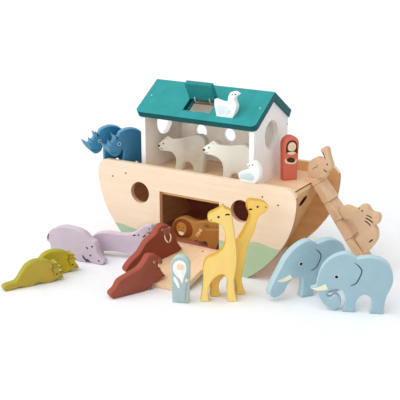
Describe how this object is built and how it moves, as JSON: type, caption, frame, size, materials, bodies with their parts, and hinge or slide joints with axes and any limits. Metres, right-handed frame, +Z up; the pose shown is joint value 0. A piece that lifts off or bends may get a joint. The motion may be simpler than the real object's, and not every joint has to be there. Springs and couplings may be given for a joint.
{
  "type": "wooden ark play set",
  "caption": "Wooden toy ark with a curved hull, doorway and ramp, open house under a hinged-hatch roof, boarding ladder, and loose flat cut-out animals and people.",
  "frame": {"origin": "on the floor under the middle of the hull", "axes": "+X along the hull towards the ladder, +Y from the open front to the back, +Z up"},
  "size_m": [0.6246, 0.4448, 0.3192],
  "materials": {
    "hull_birch": "clear matt lacquer",
    "hold_birch": "clear matt lacquer",
    "plank_birch": "clear matt lacquer",
    "peg_beech": "bare",
    "brads": "plain",
    "ring_wire": "bright",
    "house_white": "matt paint",
    "roof_teal": "matt paint",
    "elephant_blue": "matt paint",
    "giraffe_yellow": "matt paint",
    "walrus_brown": "matt paint",
    "triceratops_olive": "matt paint",
    "hippo_lilac": "matt paint",
    "rhino_blue": "matt paint",
    "bear_cream": "matt paint",
    "dove_white": "matt paint",
    "lion_brown": "matt paint",
    "lioness_tan": "matt paint",
    "rabbit_wood": "matt paint",
    "man_robe": "matt paint",
    "woman_robe": "matt paint"
  },
  "bodies": {
    "ark": {"hull_side_front": "hull_birch", "door_lintel": "plank_birch", "hull_side_back": "hull_birch", "hull_end_left": "hold_birch", "hull_end_right": "hold_birch", "hull_floor": "hold_birch", "deck": "hull_birch", "hull_pins": "brads", "house_wall_left": "house_white", "house_wall_right": "house_white", "house_wall_back": "house_white", "roof_front": "roof_teal", "roof_back": "roof_teal", "roof_pins": "brads", "hatch_rings": "ring_wire"},
    "hatch": {"hatch_lid": "roof_teal"},
    "ramp": {"ramp": "plank_birch", "ramp_pegs": "peg_beech"},
    "ladder": {"ladder": "plank_birch", "ladder_steps": "plank_birch", "ladder_pegs": "peg_beech"},
    "elephant_front": {"elephant_front": "elephant_blue"},
    "elephant_rear": {"elephant_rear": "elephant_blue"},
    "giraffe_front": {"giraffe_front": "giraffe_yellow"},
    "giraffe_rear": {"giraffe_rear": "giraffe_yellow"},
    "walrus_front": {"walrus_front": "walrus_brown"},
    "walrus_ramp": {"walrus_ramp": "walrus_brown"},
    "triceratops_front": {"triceratops_front": "triceratops_olive"},
    "triceratops_rear": {"triceratops_rear": "triceratops_olive"},
    "hippo_left": {"hippo_left": "hippo_lilac"},
    "hippo_right": {"hippo_right": "hippo_lilac"},
    "rhino_front": {"rhino_front": "rhino_blue"},
    "rhino_rear": {"rhino_rear": "rhino_blue"},
    "bear_front": {"bear_front": "bear_cream"},
    "bear_rear": {"bear_rear": "bear_cream"},
    "dove_roof": {"dove_roof": "dove_white"},
    "dove_rail": {"dove_rail": "dove_white"},
    "lion": {"lion": "lion_brown"},
    "lioness": {"lioness": "lioness_tan"},
    "rabbit_top": {"rabbit_top": "rabbit_wood"},
    "rabbit_low": {"rabbit_low": "rabbit_wood"},
    "bearded_man": {"bearded_man": "man_robe"},
    "woman": {"woman": "woman_robe"}
  },
  "joints": [
    {"name": "hatch_hinge", "type": "hinge", "parent": "ark", "child": "hatch", "pos_m": [-0.011, -0.02684, 0.28857], "axis": [-1, 0, 0], "range_deg": [-93, 80]},
    {"name": "ramp_lift", "type": "slide", "parent": "ark", "child": "ramp", "axis": [0, 0, 1], "range_m": [0, 0.04]},
    {"name": "ladder_lift", "type": "slide", "parent": "ark", "child": "ladder", "axis": [0, 0, 1], "range_m": [0, 0.04]},
    {"name": "elephant_front_lift", "type": "slide", "parent": "ark", "child": "elephant_front", "axis": [0, 0, 1], "range_m": [0, 0.04]},
    {"name": "elephant_rear_lift", "type": "slide", "parent": "ark", "child": "elephant_rear", "axis": [0, 0, 1], "range_m": [0, 0.04]},
    {"name": "giraffe_front_lift", "type": "slide", "parent": "ark", "child": "giraffe_front", "axis": [0, 0, 1], "range_m": [0, 0.04]},
    {"name": "giraffe_rear_lift", "type": "slide", "parent": "ark", "child": "giraffe_rear", "axis": [0, 0, 1], "range_m": [0, 0.04]},
    {"name": "walrus_front_lift", "type": "slide", "parent": "ramp", "child": "walrus_front", "axis": [0, 0, 1], "range_m": [0, 0.04]},
    {"name": "walrus_ramp_lift", "type": "slide", "parent": "ramp", "child": "walrus_ramp", "axis": [0, -0.2215, 0.9751], "range_m": [0, 0.04]},
    {"name": "triceratops_front_lift", "type": "slide", "parent": "ark", "child": "triceratops_front", "axis": [0, 0, 1], "range_m": [0, 0.04]},
    {"name": "triceratops_rear_lift", "type": "slide", "parent": "ark", "child": "triceratops_rear", "axis": [0, 0, 1], "range_m": [0, 0.04]},
    {"name": "hippo_left_lift", "type": "slide", "parent": "ark", "child": "hippo_left", "axis": [0, 0, 1], "range_m": [0, 0.04]},
    {"name": "hippo_right_lift", "type": "slide", "parent": "ark", "child": "hippo_right", "axis": [0, 0, 1], "range_m": [0, 0.04]},
    {"name": "rhino_front_lift", "type": "slide", "parent": "ark", "child": "rhino_front", "axis": [0, 0, 1], "range_m": [0, 0.03]},
    {"name": "rhino_rear_lift", "type": "slide", "parent": "ark", "child": "rhino_rear", "axis": [0, 0, 1], "range_m": [0, 0.04]},
    {"name": "bear_front_lift", "type": "slide", "parent": "ark", "child": "bear_front", "axis": [0, 0, 1], "range_m": [0, 0.024]},
    {"name": "bear_rear_lift", "type": "slide", "parent": "ark", "child": "bear_rear", "axis": [0, 0, 1], "range_m": [0, 0.024]},
    {"name": "dove_roof_lift", "type": "slide", "parent": "ark", "child": "dove_roof", "axis": [0, 0, 1], "range_m": [0, 0.04]},
    {"name": "dove_rail_lift", "type": "slide", "parent": "ark", "child": "dove_rail", "axis": [0, 0, 1], "range_m": [0, 0.04]},
    {"name": "lion_lift", "type": "slide", "parent": "ark", "child": "lion", "axis": [0, 0, 1], "range_m": [0, 0.04]},
    {"name": "lioness_lift", "type": "slide", "parent": "ark", "child": "lioness", "axis": [0, 0, 1], "range_m": [0, 0.04]},
    {"name": "rabbit_top_lift", "type": "slide", "parent": "ladder", "child": "rabbit_top", "axis": [0, 0, 1], "range_m": [0, 0.04]},
    {"name": "rabbit_low_lift", "type": "slide", "parent": "ladder", "child": "rabbit_low", "axis": [0.8111, 0, 0.585], "range_m": [0, 0.04]},
    {"name": "bearded_man_lift", "type": "slide", "parent": "ark", "child": "bearded_man", "axis": [0, 0, 1], "range_m": [0, 0.04]},
    {"name": "woman_lift", "type": "slide", "parent": "ark", "child": "woman", "axis": [0, 0, 1], "range_m": [0, 0.04]}
  ]
}
